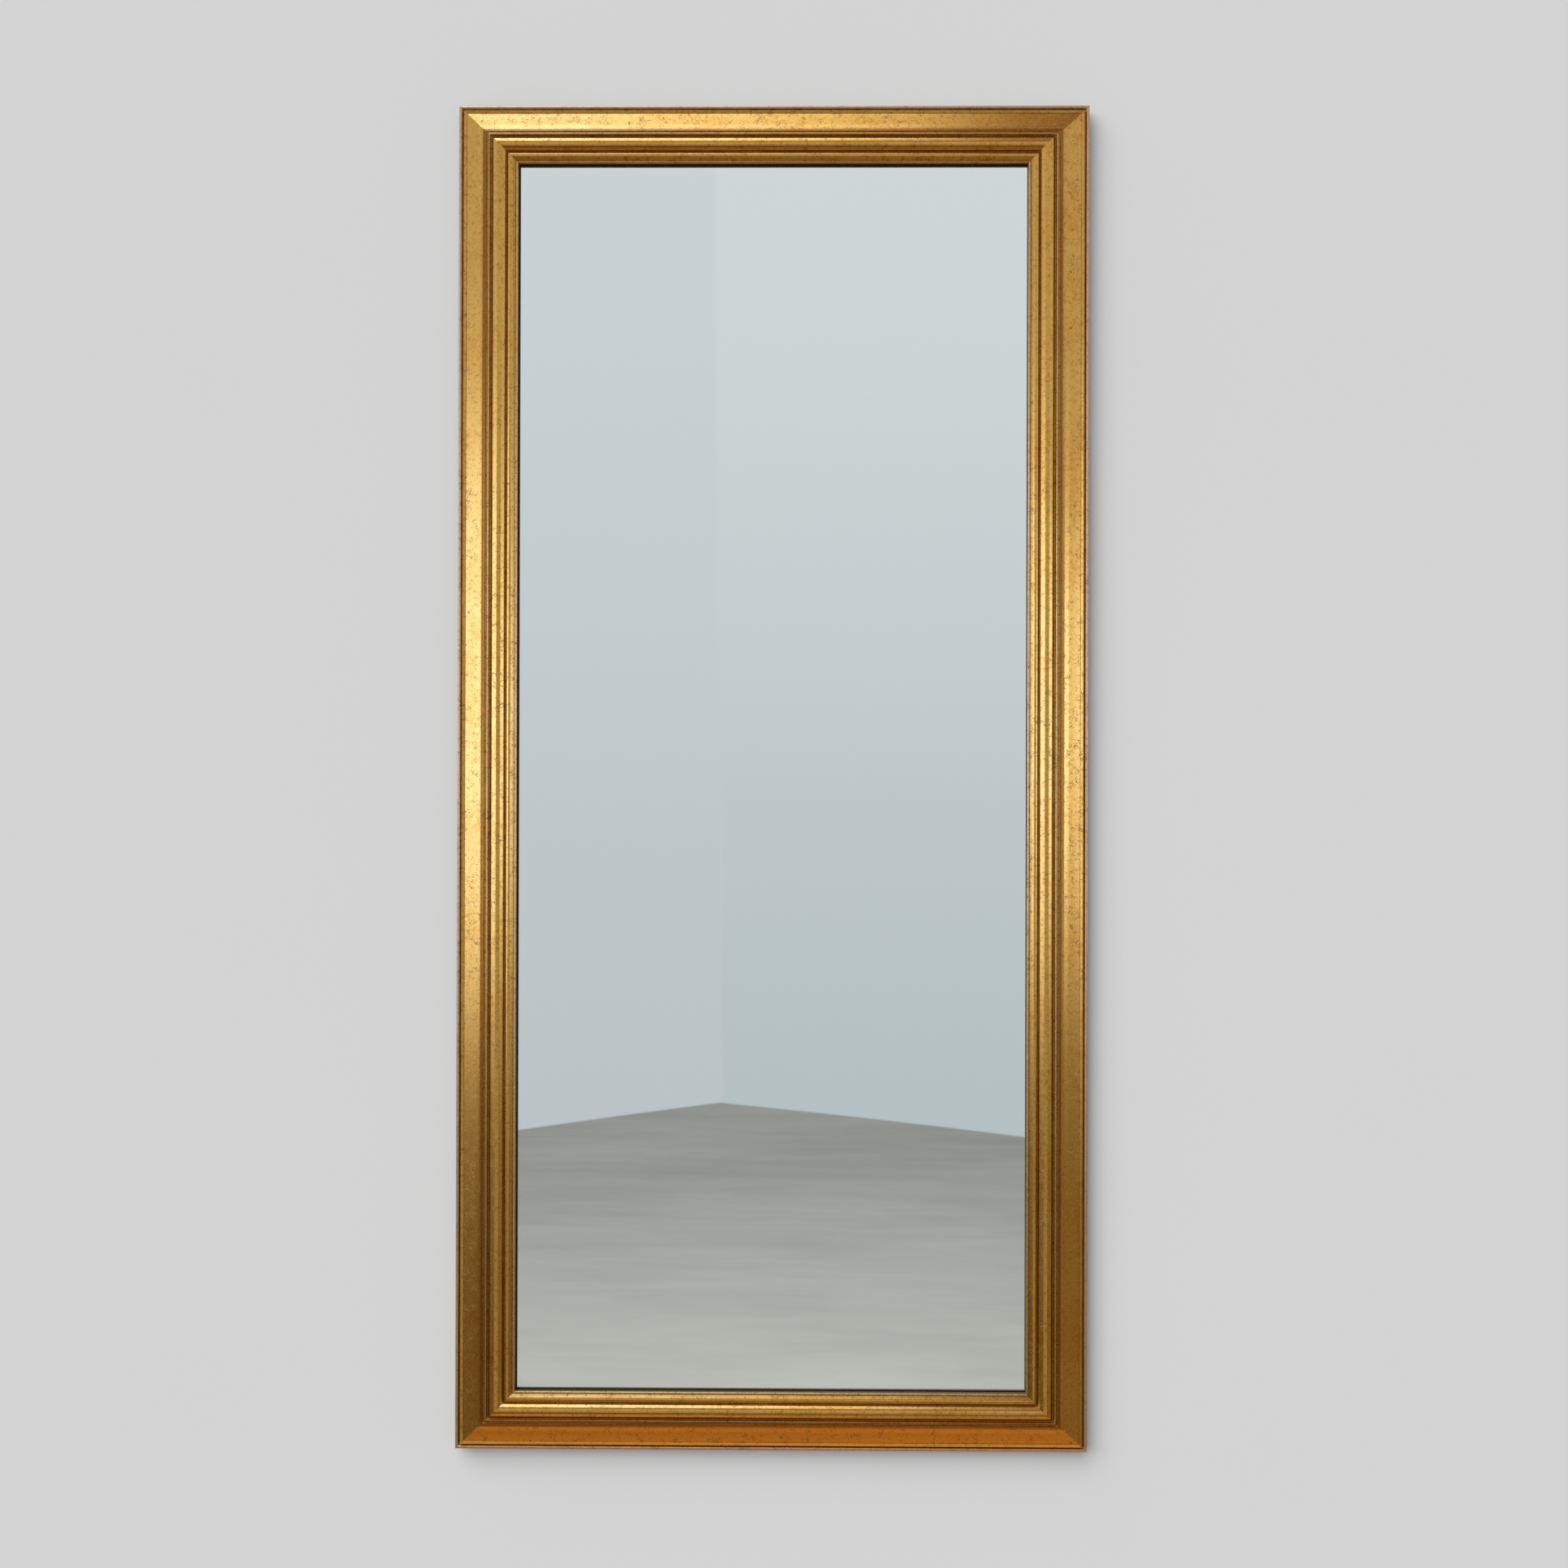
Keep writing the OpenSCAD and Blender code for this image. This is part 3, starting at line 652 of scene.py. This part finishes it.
def makeRail(name, node, length, turn, materials):
    # drawn along Z with the outer edge at -X, then turned about Y to its side of the frame
    rail = drawSection()
    roundArrises(rail)
    made = bmesh.ops.extrude_edge_only(rail, edges=rail.edges[:])
    moved = [part for part in made["geom"] if isinstance(part, bmesh.types.BMVert)]
    bmesh.ops.translate(rail, verts=moved, vec=(0, 0, length / mm))
    reach = (halfWidth + halfHeight) - length / 2  # half of the frame's width, seen from this rail
    place = Matrix(((mm, 0, 0, -reach), (0, -mm, 0, backY), (0, 0, mm, -length / 2), (0, 0, 0, 1)))
    bmesh.ops.transform(rail, matrix=place, verts=rail.verts)
    for end in (-1, 1):
        corner = (-reach, 0, end * length / 2)
        parts = rail.verts[:] + rail.edges[:] + rail.faces[:]
        bmesh.ops.bisect_plane(rail, geom=parts, plane_co=corner, plane_no=(1, 0, end), clear_outer=True)
    rims = [edge for edge in rail.edges if edge.is_boundary]
    bmesh.ops.holes_fill(rail, edges=rims, sides=0)
    toSide = Matrix.Rotation(math.radians(turn), 3, "Y")
    bmesh.ops.rotate(rail, verts=rail.verts, cent=(0, 0, 0), matrix=toSide)
    bmesh.ops.recalc_face_normals(rail, faces=rail.faces)
    rebateX = (across["rebate"] - 0.1) * mm  # a face's middle is past this if it lies in the rebate
    rebateY = backY - (moulding["rebateDepth"] + 0.01) * mm
    slack = 0.01  # of a normal's parts
    for face in rail.faces:
        face.smooth = True
        centre = face.calc_center_median()
        inward = min(halfWidth - abs(centre.x), halfHeight - abs(centre.z)) > rebateX
        isBack = face.normal.y > 0.9 or (inward and centre.y > rebateY)
        isMitre = abs(abs(face.normal.x) - abs(face.normal.z)) < slack and abs(face.normal.y) < slack
        if isBack or isMitre:
            face.material_index = 1  # bare wood
    for edge in rail.edges:
        if len(edge.link_faces) == 2 and edge.calc_face_angle() > math.radians(moulding["creaseTurn"]):
            edge.smooth = False
    piece = meshPiece(name, rail)
    for material in materials:
        piece.data.materials.append(material)
    weighted = piece.modifiers.new("weighted", "WEIGHTED_NORMAL")
    weighted.keep_sharp = True
    weighted.weight = 100
    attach(piece, "root")
    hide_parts(node)


gilding = {
    "gold": (0.69, 0.39, 0.088),
    "redGold": (0.61, 0.285, 0.045),
    # a painted warm reflection of the floor below, on the bottom rail's outer members
    "footWarmReflection": (0.72, 0.31, 0.046),
    "bead": (0.60, 0.40, 0.24),
    "tonerAndShade": (0.15, 0.045, 0.006),
    "speck": (0.2, 0.075, 0.012),
    # dark paint on the sight edge, standing in also as painted shade under the lip
    "sightEdgePaintAndShade": (0.14, 0.10, 0.04),
    "roughness": 0.17,
    "coat": 0.12,
    "coatRoughness": 0.12,
    "relief": 0.03,  # millimetres
    # noises: scale, detail, roughness and warp
    "cloud": (14.0, 3.0),
    "cloudEnd": (0.35, 0.68),
    "streak": (520.0, 3.0, 0.6),
    "streakLength": 0.04,  # the pattern's scale along the rail, as a share of that across it
    "blotch": (240.0, 2.0, 0.55),
    "mottle": (620.0, 2.0, 0.6),
    "redShare": {"cloud": 0.5, "streak": 0.6, "blotch": 2.0, "mottle": 1.2},
    "reliefShare": {"mottle": 0.2, "blotch": 0.3, "streak": 0.3, "mark": 0.5},
    "rougher": {"streak": (-0.03, 0.04), "mottle": (-0.02, 0.04), "tonerAndShade": 0.08, "mark": 0.15, "bead": 0.1,
                "lip": 0.8},
    "duller": {"bead": 0.12, "mark": 0.1},
    # places across the moulding are millimetres in from its outer edge, here and below
    "outerBeadEnd": (3.6, 4.5),
    "beads": (("smallBead", 0.15), ("innerBead", 0.55)),
    "beadEnd": (1.1, 1.9),
    "beadShare": 0.85,
    "footWarmReflectionEnd": (43.5, 46.5),
}

# Toner is the brown glaze that was left in the quirks and rubbed off the high parts; the same brown is
# also laid as painted shade on parts of the top and bottom rails
tonerAndShade = {
    "across": (  # a place, then how heavily it lies there
        (0.0, 0.1), (4.2, 0.15), (4.9, 0.65), (6.1, 0.65), (6.8, 0.05), (9.8, 0.0), (10.1, 0.5),
        (10.9, 0.0), (28.0, 0.0), (34.0, 0.15), (37.4, 0.5), (38.5, 0.55), (40.1, 0.55), (40.8, 0.3),
        (43.4, 0.3), (44.1, 0.6), (45.5, 0.7), (46.3, 0.5), (47.6, 0.15), (48.4, 0.0), (62.4, 0.0),
        (63.1, 0.3), (63.8, 0.9), (65.1, 0.95), (65.9, 0.15), (67.5, 0.0), (72.2, 0.1), (72.5, 0.35),
        (75.3, 0.38), (75.8, 0.05), (78.4, 0.1), (78.8, 0.8),
    ),
    "share": 0.9,
    "topInnerShade": (56.0, 61.0),  # painted shade on the top rail, from the torus inwards, in the same brown
    "topCushion": ((65.6, 66.6), (71.5, 72.3)),  # but not on the cushion
    "topShadeShare": 0.5,
    "footBeadShade": ((38.0, 39.0), (43.4, 44.4)),  # and painted shade on the bottom rail's small bead
    "footShadeShare": 0.65,
    "flankShade": ((44.5, 45.5), (47.0, 48.6)),  # and painted shade on the outer flank of the torus, top and bottom
    "flankShadeShare": 0.8,
    "streakFall": (0.3, 0.6, 0.8, 1.12),
    "blotchFrom": 0.55,
    "blotch": 1.4,
}

# Specks, short worm-like marks, the line of the mitre, and the dark lip at the sight edge, which is dark
# paint and painted shade under the lip
flaws = {
    "specks": {"scale": 260.0, "channel": 0, "chance": 0.5, "size": 0.3, "soft": 0.08},
    "specksShift": (3.1, 1.7, 4.3),
    "fineSpecks": {"scale": 620.0, "channel": 1, "chance": 0.45, "size": 0.34, "soft": 0.12},
    "fineShare": 0.7,
    "wormLine": (150.0, 1.0, 0.5, 1.2),
    "wormWidth": (0.01, 0.035),
    "wormPatch": (75.0, 1.0),
    "wormFrom": (0.5, 0.58),
    "wormShare": 0.85,
    "mitreEnd": (0.1, 0.45),  # millimetres from the mitre
    "mitreShare": 0.8,
    "share": 0.65,
    "lipEnd": (0.05, 0.35),  # millimetres from the sight edge
    "lipDepth": 0.1,
}


def between(value, rise, fall):
    return value.step(*rise) * value.fade(*fall)


def scatter(place, scale, channel, chance, size, soft):  # dots in those cells whose number is over chance
    dotSize = place.cells(scale, out=1).parts()[channel].spread(chance, 1.0, 0.0, size)
    return (dotSize - place.cells(scale)).step(0.0, soft)


def giltMaterial():
    made, tree, place = newMaterial("gilded moulding")
    x, y, z = place.parts()
    fromSide = halfWidth - abs(x)
    fromEnd = halfHeight - abs(z)
    onSide = (fromEnd - fromSide).above(0.0)
    onLevel = 1.0 - onSide  # the top and bottom rails
    s = fromSide.least(fromEnd) / mm  # in from the outer edge
    height = (backY - y) / mm
    thin = gilding["streakLength"]
    runs = {0: onSide, 4: (thin, 1, 1), 5: (1, 1, thin)}
    stretch = onSide.node("Mix", {"data_type": "VECTOR"}, runs, out=1)
    drawn = place.node("VectorMath", {"operation": "MULTIPLY"}, {0: place, 1: stretch})
    # leaf tone: broad clouds, streaks along the rail, blotches and a fine mottle
    cloud = place.noise(*gilding["cloud"]).step(*gilding["cloudEnd"])
    streak = drawn.noise(*gilding["streak"])
    blotch = place.noise(*gilding["blotch"])
    mottle = place.noise(*gilding["mottle"])
    share = gilding["redShare"]
    red = cloud * share["cloud"] + (streak - 0.5) * share["streak"]
    red = red + (blotch - 0.5) * share["blotch"] + (mottle - 0.5) * share["mottle"]
    tone = red.clamped().blend(gilding["gold"], gilding["redGold"])
    # the narrow members are paler and duller, and the leaf on the lowest band is painted redder, a painted
    # warm reflection of the floor below
    beads = s.fade(*gilding["outerBeadEnd"])
    for name, amount in gilding["beads"]:
        middle = across[name] + moulding[name] / 2
        beads = beads.most(abs(s - middle).step(*gilding["beadEnd"], amount, 0.0))
    onFoot = onLevel * z.below(0.0)
    # painted warm reflection on the bottom rail
    tone = (onFoot * s.fade(*gilding["footWarmReflectionEnd"])).blend(tone, gilding["footWarmReflection"])
    tone = (beads * gilding["beadShare"]).blend(tone, gilding["bead"])
    # the brown glaze lies in the quirks, up the cove and along the bevel, and the same brown is painted
    # shade on parts of the top and bottom rails
    stops = [(at / moulding["width"], amount) for at, amount in tonerAndShade["across"]]
    tonedAndShaded = (s / moulding["width"]).ramp(*stops)
    # painted shade: the brown laid on the top rail's downward faces from the torus inwards
    topInnerShade = onLevel * z.above(0.0) * s.step(*tonerAndShade["topInnerShade"])
    topInnerShade = topInnerShade * (1.0 - between(s, *tonerAndShade["topCushion"]))
    # painted shade on the bottom rail's small bead
    footBeadShade = onFoot * between(s, *tonerAndShade["footBeadShade"])
    # painted shade on the torus's outer flank, on the top and bottom rails only
    flankShade = onLevel * between(s, *tonerAndShade["flankShade"])
    tonedAndShaded = tonedAndShaded.most(topInnerShade * tonerAndShade["topShadeShare"])
    tonedAndShaded = tonedAndShaded.most(footBeadShade * tonerAndShade["footShadeShare"]).most(flankShade * tonerAndShade["flankShadeShare"])
    tonedAndShaded = tonedAndShaded * streak.spread(*tonerAndShade["streakFall"])
    tonedAndShaded = (tonedAndShaded + (blotch - tonerAndShade["blotchFrom"]).most(0.0) * tonerAndShade["blotch"]).clamped()
    # marks
    speck = scatter(place.moved(flaws["specksShift"]), **flaws["specks"])
    fine = scatter(place, **flaws["fineSpecks"]) * flaws["fineShare"]
    worm = abs(place.noise(*flaws["wormLine"]) - 0.5).fade(*flaws["wormWidth"])
    worm = worm * place.noise(*flaws["wormPatch"]).step(*flaws["wormFrom"])
    marks = speck.most(fine).most(worm * flaws["wormShare"])
    mitre = (abs(fromSide - fromEnd) / mm).fade(*flaws["mitreEnd"]) * flaws["mitreShare"]
    dark = marks.most(mitre)
    lipTop = moulding["spring"] - moulding["bevelFall"] + flaws["lipDepth"]
    lip = (moulding["width"] - s).fade(*flaws["lipEnd"]) * height.below(lipTop)
    # the brown of the glaze and of the painted shade
    tone = (tonedAndShaded * tonerAndShade["share"]).blend(tone, gilding["tonerAndShade"])
    tone = (dark * flaws["share"]).blend(tone, gilding["speck"])
    # the sight edge's inner face: dark paint that is also painted shade under the lip
    tone = lip.blend(tone, gilding["sightEdgePaintAndShade"])
    # what is not clean leaf is a little less metallic and rougher
    dull = (beads * gilding["duller"]["bead"]).most(dark * gilding["duller"]["mark"]).most(lip)
    more = gilding["rougher"]
    rough = streak.choose(*more["streak"]) + mottle.choose(*more["mottle"]) + gilding["roughness"]
    rough = rough + tonedAndShaded * more["tonerAndShade"] + dark * more["mark"] + beads * more["bead"] + lip * more["lip"]
    share = gilding["reliefShare"]
    relief = mottle * share["mottle"] + blotch * share["blotch"] + streak * share["streak"]
    relief = relief - marks * share["mark"]
    coat = (1.0 - lip.most(tonedAndShaded)) * gilding["coat"]
    sockets = {"Base Color": tone, "Metallic": 1.0 - dull, "Roughness": rough,
               "Coat Weight": coat, "Coat Roughness": gilding["coatRoughness"]}
    finishMaterial(tree, sockets, relief, gilding["relief"] * mm)
    return made


# Bare wood, on the backs and mitres of the rails and on the packing
woods = {
    "rawWood": {"pale": (0.56, 0.40, 0.24), "brown": (0.38, 0.24, 0.12)},
    "pine": {"pale": (0.68, 0.5, 0.3), "brown": (0.5, 0.33, 0.17)},
    "upright": (1, 1, 0.06),  # the grain's scale along each axis: small along the run of the wood
    "level": (0.06, 1, 1),
    "grain": (90.0, 4.0, 0.6, 0.8),
    "grainEnd": (0.3, 0.75),
    "grainShare": 0.7,
    "cloud": (9.0, 2.0),
    "cloudShare": 0.6,
    "fibre": (700.0, 2.0, 0.6),
    "fibreEnd": (0.52, 0.7),
    "fibreShare": 0.35,
    "fibreDark": 0.55,
    "roughness": (0.55, 0.8),
    "relief": 0.12,
}


def woodMaterial(name, wood, run):
    made, tree, place = newMaterial(name)
    pale, brown = woods[wood]["pale"], woods[wood]["brown"]
    drawn = place.scaled(*woods[run])
    grain = drawn.noise(*woods["grain"])
    fibre = drawn.noise(*woods["fibre"])
    cloud = place.noise(*woods["cloud"])
    share = grain.step(*woods["grainEnd"]) * woods["grainShare"] + (cloud - 0.5) * woods["cloudShare"]
    darkest = [c * woods["fibreDark"] for c in brown]
    lines = fibre.step(*woods["fibreEnd"]) * woods["fibreShare"]
    tone = lines.blend(share.clamped().blend(pale, brown), darkest)
    sockets = {"Base Color": tone, "Roughness": fibre.choose(*woods["roughness"])}
    finishMaterial(tree, sockets, fibre + grain, woods["relief"] * mm)
    return made


def makeFrame():
    gilt = giltMaterial()
    upright = woodMaterial("raw wood upright", "rawWood", "upright")
    level = woodMaterial("raw wood level", "rawWood", "level")
    width, height = 2 * halfWidth, 2 * halfHeight
    makeRail("moulding_left", "rail_left", height, 0, (gilt, upright))
    makeRail("moulding_right", "rail_right", height, 180, (gilt, upright))
    makeRail("moulding_bottom", "rail_bottom", width, -90, (gilt, level))
    makeRail("moulding_top", "rail_top", width, 90, (gilt, level))


makeFrame()
print("moulding made")


# The plate: a glass slab with its silvering and backing paint behind it

plate = {
    "arris": 0.6 * mm,
    "arrisSteps": 2,
    "film": 0.08 * mm,
    "paint": 0.06 * mm,
    "sink": 0.02 * mm,  # how far the silvering lies inside the glass, so that no air gap is traced
    "glassTint": (0.975, 0.995, 0.99),
    "glassIor": 1.52,
    "silver": (0.93, 0.955, 0.96),
    "silverHaze": 0.995,
    "silverNoise": (6.0, 2.0),
    "backPaint": (0.16, 0.17, 0.18),
    "backPaintWorn": 1.25,
    "backPaintNoise": (40.0, 3.0),
    "paintRoughness": 0.55,
}


def slab(name, low, high, bevel, material):
    box = bmesh.new()
    bmesh.ops.create_cube(box, size=1.0)
    bmesh.ops.scale(box, vec=high - low, verts=box.verts)
    bmesh.ops.translate(box, vec=(low + high) / 2, verts=box.verts)
    if bevel:
        bmesh.ops.bevel(box, geom=box.edges[:], offset=bevel, offset_type="OFFSET", profile=0.5,
                        segments=plate["arrisSteps"], affect="EDGES", material=-1)
    return meshPiece(name, box, material)


def plateMaterials():
    glass, tree = newMaterial("plate glass")[:2]
    finishMaterial(tree, {"Base Color": plate["glassTint"], "Roughness": 0.0, "IOR": plate["glassIor"],
                          "Transmission Weight": 1.0})
    silver, tree, place = newMaterial("silvering")
    dulled = [c * plate["silverHaze"] for c in plate["silver"]]
    haze = place.noise(*plate["silverNoise"]).blend(dulled, plate["silver"])
    finishMaterial(tree, {"Base Color": haze, "Metallic": 1.0, "Roughness": 0.0})
    paintCoat, tree, place = newMaterial("mirror backing paint")
    worn = [c * plate["backPaintWorn"] for c in plate["backPaint"]]
    coat = place.noise(*plate["backPaintNoise"]).blend(plate["backPaint"], worn)
    finishMaterial(tree, {"Base Color": coat, "Roughness": plate["paintRoughness"]})
    return glass, silver, paintCoat


def makePlate():
    glass, silver, paintCoat = plateMaterials()
    low, high = plateLow, plateHigh
    filmY = high.y - plate["film"] - plate["paint"]
    paintY = filmY + plate["film"]
    inset = Vector((plate["arris"], 0, plate["arris"]))
    glassHigh = Vector((high.x, filmY + plate["sink"], high.z))
    body = slab("plate_glass", low, glassHigh, plate["arris"], glass)
    film = slab("plate_silvering", Vector((low.x, filmY, low.z)) + inset,
                Vector((high.x, paintY, high.z)) - inset, 0, silver)
    back = slab("plate_backing_paint", Vector((low.x, paintY, low.z)) + inset, high - inset, 0, paintCoat)
    for piece in (body, film, back):
        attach(piece, "root")
        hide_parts("mirror_plate")


makePlate()
print("plate made")


# Finishes of the pieces behind, whose CAD shapes stay

zinc = {
    "tones": ((0.60, 0.61, 0.62), (0.72, 0.73, 0.73)),  # from one spangle to another
    "spangle": 260.0,
    "scratch": (900.0, 2.0),
    "scratchRun": (1, 1, 0.1),
    "roughness": (0.24, 0.34),
    "scratchRoughness": 0.12,
    "relief": 0.02,
}

rubber = {
    "blocks": (0.03, 0.03, 0.03),
    "bumper": (0.02, 0.02, 0.02),
    "bloom": (120.0, 3.0),
    "bloomGain": 1.5,
    "bloomLift": 0.01,
    "roughness": (0.6, 0.8),
    "grain": (1500.0, 2.0),
    "relief": 0.03,
}

board = {
    "tones": ((0.30, 0.185, 0.10), (0.20, 0.115, 0.058)),
    "fleck": (0.42, 0.29, 0.17),
    "fleckCells": 900.0,
    "fleckFrom": (0.9, 1.0),
    "fleckShare": 0.4,
    "cloud": (5.0, 3.0),
    "cloudEnd": (0.2, 0.8),
    "cloudShare": 0.3,
    "fibre": (520.0, 4.0, 0.7),
    "fibreShare": 0.9,
    "darkShare": 0.2,
    "roughness": (0.45, 0.6),
    "relief": 0.05,
}

easing = {"width": 0.22, "steps": 2, "turn": 40}  # of the edges of metal and bumpers: mm, then degrees


def zincMaterial():
    made, tree, place = newMaterial("bright zinc")
    spangle = place.cells(zinc["spangle"], out=1).parts()[0]
    scratch = place.scaled(*zinc["scratchRun"]).noise(*zinc["scratch"])
    rough = spangle.choose(*zinc["roughness"]) + scratch * zinc["scratchRoughness"]
    sockets = {"Base Color": spangle.blend(*zinc["tones"]), "Metallic": 1.0, "Roughness": rough}
    finishMaterial(tree, sockets, scratch, zinc["relief"] * mm)
    return made


def rubberMaterial(name, tone):
    made, tree, place = newMaterial(name)
    bloom = place.noise(*rubber["bloom"])
    shade = bloom.blend(tone, [c * rubber["bloomGain"] + rubber["bloomLift"] for c in tone])
    sockets = {"Base Color": shade, "Roughness": bloom.choose(*rubber["roughness"])}
    finishMaterial(tree, sockets, place.noise(*rubber["grain"]), rubber["relief"] * mm)
    return made


def boardMaterial():
    made, tree, place = newMaterial("hardboard")
    fibre = place.noise(*board["fibre"])
    cloud = place.noise(*board["cloud"]).step(*board["cloudEnd"])
    fleck = place.cells(board["fleckCells"], out=1).parts()[0].step(*board["fleckFrom"])
    share = cloud * board["cloudShare"] + (fibre - 0.5) * board["fibreShare"] + board["darkShare"]
    tone = (fleck * board["fleckShare"]).blend(share.clamped().blend(*board["tones"]), board["fleck"])
    sockets = {"Base Color": tone, "Roughness": fibre.choose(*board["roughness"])}
    finishMaterial(tree, sockets, fibre, board["relief"] * mm)
    return made


def dressNodes():
    metal = zincMaterial()
    hardboard = boardMaterial()
    pine = woodMaterial("pine upright", "pine", "upright")
    pineLevel = woodMaterial("pine level", "pine", "level")
    blocks = rubberMaterial("edge block rubber", rubber["blocks"])
    bumper = rubberMaterial("bumper rubber", rubber["bumper"])
    finishes = {"backing_board": hardboard, "packing_top": pineLevel, "packing_bottom": pineLevel,
                "packing_left": pine, "packing_right": pine, "edge_blocks": blocks, "wall_bumpers": bumper}
    for name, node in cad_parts.items():
        if node.hide_render:  # replaced above
            continue
        material = finishes.get(name, metal)
        node.data.materials.clear()
        node.data.materials.append(material)
        if material in (metal, bumper):
            eased = node.modifiers.new("eased edges", "BEVEL")
            eased.width = easing["width"] * mm
            eased.segments = easing["steps"]
            eased.limit_method = "ANGLE"
            eased.angle_limit = math.radians(easing["turn"])


dressNodes()
print("back dressed")

bpy.context.scene.view_settings.view_transform = "Standard"
